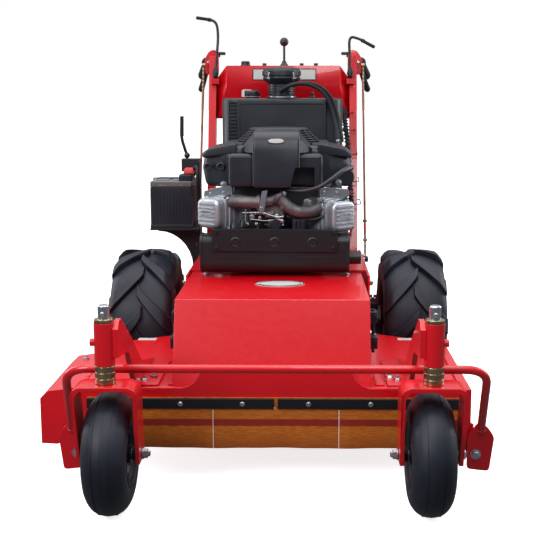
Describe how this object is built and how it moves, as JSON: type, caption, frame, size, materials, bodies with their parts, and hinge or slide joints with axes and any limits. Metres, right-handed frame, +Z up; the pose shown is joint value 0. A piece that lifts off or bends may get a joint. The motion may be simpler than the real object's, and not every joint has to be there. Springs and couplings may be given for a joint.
{
  "type": "brush mower",
  "caption": "Walk-behind brush mower: red twin-blade deck on swivel casters with a rubber apron, lugged drive wheels, V-twin engine, rear handles and console.",
  "frame": {"origin": "middle of the base, on the ground, under the centre of the bounding box", "axes": "+Z up, the mower faces -Y and the operator stands behind it at +Y; +X is the operator's left"},
  "size_m": [1.129, 1.7314, 1.2103],
  "materials": {
    "red_paint": "glossy red paint",
    "black_paint": "satin black paint",
    "black_plastic": "moulded black plastic",
    "hose_rubber": "matte black rubber",
    "tyre_rubber": "blue-black tyre rubber",
    "cast_alloy": "sand-cast alloy",
    "steel": "bright steel",
    "zinc_plate": "yellow zinc plating",
    "apron_belting": "orange-brown conveyor belting"
  },
  "bodies": {
    "chassis": {"deck_shell": "red_paint", "belt_cover": "red_paint", "front_bumper": "red_paint", "left_caster_arm": "red_paint", "right_caster_arm": "red_paint", "left_apron_strip": "black_paint", "right_apron_strip": "black_paint", "left_spindle_housing": "cast_alloy", "right_spindle_housing": "cast_alloy", "deck_belt": "hose_rubber", "left_caster_spacers": "zinc_plate", "right_caster_spacers": "zinc_plate", "main_frame": "red_paint", "left_wheel_motor": "black_paint", "right_wheel_motor": "black_paint", "engine_block": "black_paint", "left_cylinder": "cast_alloy", "right_cylinder": "cast_alloy", "intake_manifold": "cast_alloy", "muffler": "black_paint", "engine_shroud": "black_plastic", "handle_frame": "red_paint", "fuel_tank": "black_plastic", "air_canister": "black_plastic", "breather_hose": "hose_rubber", "console": "red_paint", "left_grip": "hose_rubber", "right_grip": "hose_rubber", "battery_tray": "black_paint", "battery": "black_plastic"},
    "left_caster": {"left_caster_fork": "red_paint", "left_caster_axle": "steel"},
    "right_caster": {"right_caster_fork": "red_paint", "right_caster_axle": "steel"},
    "left_caster_wheel": {"left_caster_tyre": "tyre_rubber", "left_caster_rim": "steel"},
    "right_caster_wheel": {"right_caster_tyre": "tyre_rubber", "right_caster_rim": "steel"},
    "left_drive_wheel": {"left_drive_tyre": "tyre_rubber", "left_drive_rim": "steel"},
    "right_drive_wheel": {"right_drive_tyre": "tyre_rubber", "right_drive_rim": "steel"},
    "left_cutter": {"left_blade": "steel", "left_blade_spindle": "steel"},
    "right_cutter": {"right_blade": "steel", "right_blade_spindle": "steel"},
    "crank": {"crank_pulley": "steel"},
    "left_flap": {"left_apron": "apron_belting"},
    "centre_flap": {"centre_apron": "apron_belting"},
    "right_flap": {"right_apron": "apron_belting"},
    "deflector": {"discharge_deflector": "red_paint"},
    "left_drive_control": {"left_drive_lever": "black_paint"},
    "right_drive_control": {"right_drive_lever": "black_paint"},
    "left_squeeze": {"left_squeeze_lever": "hose_rubber"},
    "right_squeeze": {"right_squeeze_lever": "hose_rubber"},
    "left_rod": {"left_control_rod": "zinc_plate"},
    "right_rod": {"right_control_rod": "zinc_plate"},
    "shifter": {"shift_lever": "black_plastic"},
    "brake": {"brake_lever": "black_paint"},
    "filler_cap": {"fuel_cap": "black_plastic"}
  },
  "joints": [
    {"name": "left_caster_swivel", "type": "hinge", "parent": "chassis", "child": "left_caster", "pos_m": [0.3825, -0.76371, 0.315], "axis": [0, 0, 1], "continuous": true},
    {"name": "left_caster_spin", "type": "hinge", "parent": "left_caster", "child": "left_caster_wheel", "pos_m": [0.3825, -0.72571, 0.14], "axis": [1, 0, 0], "continuous": true},
    {"name": "left_drive_spin", "type": "hinge", "parent": "chassis", "child": "left_drive_wheel", "pos_m": [0.4415, 0.29629, 0.2285], "axis": [1, 0, 0], "continuous": true},
    {"name": "left_cutter_spin", "type": "hinge", "parent": "chassis", "child": "left_cutter", "pos_m": [0.2225, -0.22723, 0.1], "axis": [0, 0, 1], "continuous": true},
    {"name": "left_drive_lever_tilt", "type": "hinge", "parent": "chassis", "child": "left_drive_control", "pos_m": [0.2535, 0.58829, 1.015], "axis": [1, 0, 0], "range_deg": [-12, 12]},
    {"name": "left_squeeze", "type": "hinge", "parent": "chassis", "child": "left_squeeze", "pos_m": [0.2875, 0.71429, 1.046], "axis": [1, 0, 0], "range_deg": [0, 6], "stiffness_Nm_per_rad": 4, "springref_deg": -17.19},
    {"name": "left_rod_slide", "type": "slide", "parent": "chassis", "child": "left_rod", "axis": [0, 0.3941, 0.9191], "range_m": [-0.008, 0.001]},
    {"name": "right_caster_swivel", "type": "hinge", "parent": "chassis", "child": "right_caster", "pos_m": [-0.3415, -0.76371, 0.315], "axis": [0, 0, 1], "continuous": true},
    {"name": "right_caster_spin", "type": "hinge", "parent": "right_caster", "child": "right_caster_wheel", "pos_m": [-0.3415, -0.72571, 0.14], "axis": [1, 0, 0], "continuous": true},
    {"name": "right_drive_spin", "type": "hinge", "parent": "chassis", "child": "right_drive_wheel", "pos_m": [-0.4065, 0.29629, 0.2285], "axis": [1, 0, 0], "continuous": true},
    {"name": "right_cutter_spin", "type": "hinge", "parent": "chassis", "child": "right_cutter", "pos_m": [-0.1875, -0.22723, 0.1], "axis": [0, 0, 1], "continuous": true},
    {"name": "right_drive_lever_tilt", "type": "hinge", "parent": "chassis", "child": "right_drive_control", "pos_m": [-0.2065, 0.58829, 1.015], "axis": [1, 0, 0], "range_deg": [-12, 12]},
    {"name": "right_squeeze", "type": "hinge", "parent": "chassis", "child": "right_squeeze", "pos_m": [-0.2405, 0.71429, 1.046], "axis": [1, 0, 0], "range_deg": [0, 6], "stiffness_Nm_per_rad": 4, "springref_deg": -17.19},
    {"name": "right_rod_slide", "type": "slide", "parent": "chassis", "child": "right_rod", "axis": [0, 0.3941, 0.9191], "range_m": [-0.008, 0.001]},
    {"name": "crank_spin", "type": "hinge", "parent": "chassis", "child": "crank", "pos_m": [0.0175, 0.12629, 0.3], "axis": [0, 0, 1], "continuous": true},
    {"name": "left_flap_swing", "type": "hinge", "parent": "chassis", "child": "left_flap", "pos_m": [0.3375, -0.52905, 0.1825], "axis": [1, 0, 0], "range_deg": [-30, 30]},
    {"name": "centre_flap_swing", "type": "hinge", "parent": "chassis", "child": "centre_flap", "pos_m": [0.0285, -0.52905, 0.1825], "axis": [1, 0, 0], "range_deg": [-30, 30]},
    {"name": "right_flap_swing", "type": "hinge", "parent": "chassis", "child": "right_flap", "pos_m": [-0.2805, -0.52905, 0.1825], "axis": [1, 0, 0], "range_deg": [-30, 30]},
    {"name": "deflector_lift", "type": "hinge", "parent": "chassis", "child": "deflector", "pos_m": [-0.4568, -0.48375, 0.226], "axis": [0, 1, 0], "range_deg": [0, 75]},
    {"name": "shift_lever_tilt", "type": "hinge", "parent": "chassis", "child": "shifter", "pos_m": [0.0275, 0.63629, 1.024], "axis": [1, 0, 0], "range_deg": [-14, 14]},
    {"name": "brake_lever_pull", "type": "hinge", "parent": "chassis", "child": "brake", "pos_m": [-0.2805, 0.34829, 0.757], "axis": [1, 0, 0], "range_deg": [0, 35]},
    {"name": "filler_cap_turn", "type": "hinge", "parent": "chassis", "child": "filler_cap", "pos_m": [-0.0725, 0.40829, 0.95], "axis": [0, 0, 1], "continuous": true}
  ],
  "couplings": [
    {"joint": "right_cutter_spin", "follows": "left_cutter_spin", "ratio": 1},
    {"joint": "crank_spin", "follows": "left_cutter_spin", "ratio": 0.7297},
    {"joint": "left_rod_slide", "follows": "left_squeeze", "m_per_rad": -0.046},
    {"joint": "right_rod_slide", "follows": "right_squeeze", "m_per_rad": -0.046}
  ]
}
